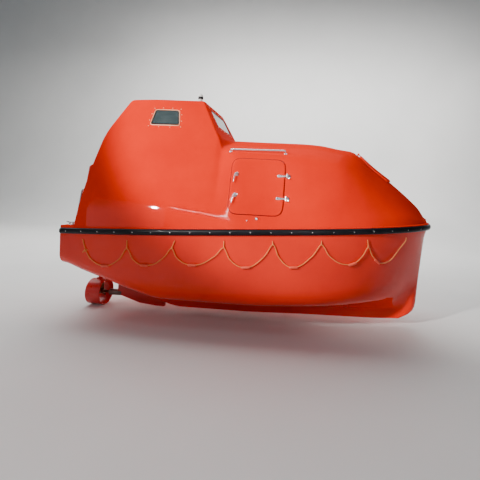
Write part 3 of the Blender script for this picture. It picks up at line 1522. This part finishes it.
piece("skeg_fin", [skeg_parts()], RED, "boat", "skeg")
stern_tube = [(21, -2262), (42, -2262), (46, -2258), (46, -2066), (40, -2060), (21, -2060)]
piece("stern_tube_pipe", [turned(stern_tube, along_boat(0, SHAFT_Z), 40)], TUBE_STEEL, "boat", "stern_tube")
bearing = [(21, -255), (44, -255), (48, -250), (48, -110), (21, -110)]
piece("stock_collar", [turned(bearing, at(NOZZLE_X, 0, 0), 36)], RED, "boat", "stock_bearing")

# Padded seat in front of its back rest
HELM_X, HELM_Z = -1400, 1260
CUSHION_STEPS = [
    (0.05, 0), (0.9, 0), (0.98, 0.12), (1.0, 0.4), (0.99, 0.68), (0.93, 0.88), (0.8, 0.97), (0.5, 1.0),
    (0.06, 1.02),
]


def cushion(name, x, z, length, width, height, upright=False):
    """A crowned cushion that lies, or stands against a back rest."""
    shape = outline(length, length, width, 50, 0, 4, 7)
    rings = []
    for share, level in CUSHION_STEPS:
        if upright:
            rings.append([Vector((x + level * height, p.y * share, z + p.x * share)) * MM for p in shape])
        else:
            rings.append([Vector((x + p.x * share, p.y * share, z + level * height)) * MM for p in shape])
    piece(name, [skin_faces(rings)], VINYL, angle=50)


cushion("seat_cushion", HELM_X + 14, HELM_Z + 71, 380, 420, 52)
cushion("back_cushion", HELM_X - 164, HELM_Z + 300, 300, 400, 44, upright=True)

# Nodes that keep their own shape take a finish, and the blunt ones a small round on their edges
KEPT = {
    "window_starboard": GLASS, "window_port": GLASS, "window_front": GLASS, "window_aft": GLASS,
    "sole": LINER, "bench_starboard": LINER, "bench_port": LINER, "helm_console": LINER,
    "helm_seat": DARK, "engine": DARK, "helm_wheel": DARK, "fore_hook": STEEL,
}
for name, material in KEPT.items():
    set_finish(nodes[name], material)
    if material is not GLASS:
        round_edges(nodes[name], 0.006, 3, 40)


# Floor, backdrop and light
def floor_profile():
    """The floor from front to back, and its round turn up into a wall behind the boat."""
    back = 10
    reach = 4
    points = [(y, 0) for y in (-30, -20, -10, 0, 5, back)]
    for i in range(1, 17):
        turn = math.pi / 2 * i / 16
        points.append((back + reach * math.sin(turn), reach * (1 - math.cos(turn))))
    return points + [(back + reach, height) for height in (6, 9, 12, 16, 20)]


floor_rings = [[Vector((x, y, FLOOR_Z + rise)) for x in range(-40, 41, 4)] for y, rise in floor_profile()]
floor = mesh_object("floor", *skin_faces(floor_rings, around=False, ends=False), angle=60)
floor.data.materials.append(
    finish("floor_paint", (236, 235, 232), (232, 231, 228), (0.6, 0.75), (0.05, 8, 0.001), scale=0.6)
)


def lamp(name, kind, place, aim_at, power, colour, **settings):
    data = bpy.data.lights.new(name, kind)
    data.energy = power
    data.color = colour
    for key, value in settings.items():
        setattr(data, key, value)
    turn = (Vector(aim_at) - Vector(place)).to_track_quat("-Z", "Y").to_matrix().to_4x4()
    link(bpy.data.objects.new(name, data)).matrix_world = Matrix.Translation(place) @ turn


def soft_light(name, place, aim_at, size, power, colour=(1, 1, 1)):
    lamp(name, "AREA", place, aim_at, power, colour, shape="RECTANGLE", size=size[0], size_y=size[1])


def aimed_beam(name, place, aim_at, spread, blend, power):
    cone = dict(spot_size=math.radians(spread), spot_blend=blend, shadow_soft_size=0.2)
    lamp(name, "SPOT", place, aim_at, power, (1.0, 0.97, 0.94), **cone)


soft_light("key_light", (-0.4, -3.2, 4.6), (-0.5, -0.7, 1.3), (1.3, 0.8), 8, (1.0, 0.97, 0.93))
soft_light("top_light", (-5.0, 3.6, 9.0), (-5.0, 3.6, 0), (18.0, 9.0), 1500)
soft_light("back_light", (0.0, 8.0, 8.0), (0, 14, 1.0), (16.0, 3.0), 1500)
soft_light("streak_light_aft", (-2.4, -5.6, 3.0), (-0.8, -0.95, 0.95), (1.9, 0.035), 30)
soft_light("streak_light_fore", (1.8, -5.7, 2.28), (0.9, -1.0, 0.84), (2.4, 0.02), 14)
soft_light("side_panel", (-7.5, -7.5, 2.5), (-1.8, -0.9, 1.1), (5.0, 3.5), 45, (0.85, 0.93, 1.0))
aimed_beam("beam_light", (-5.4, -7.6, 3.6), (0.85, -0.9, 2.85), 41, 0.35, 4700)
aimed_beam("fore_beam_light", (1.0, -9.5, 1.6), (0.9, -0.9, 1.3), 14, 1.0, 1000)

world = bpy.data.worlds.new("studio")
bpy.context.scene.world = world
world.use_nodes = True
sky_tree = world.node_tree
background = sky_tree.nodes["Background"]
split = sky_tree.nodes.new("ShaderNodeSeparateXYZ")
sky_tree.links.new(sky_tree.nodes.new("ShaderNodeTexCoord").outputs["Generated"], split.inputs["Vector"])
sky_tree.links.new(remap(sky_tree, split.outputs["Y"], -0.5, 0.2, 0.12, 0.1), background.inputs["Strength"])
background.inputs["Color"].default_value = (0.7, 0.85, 1.0, 1)
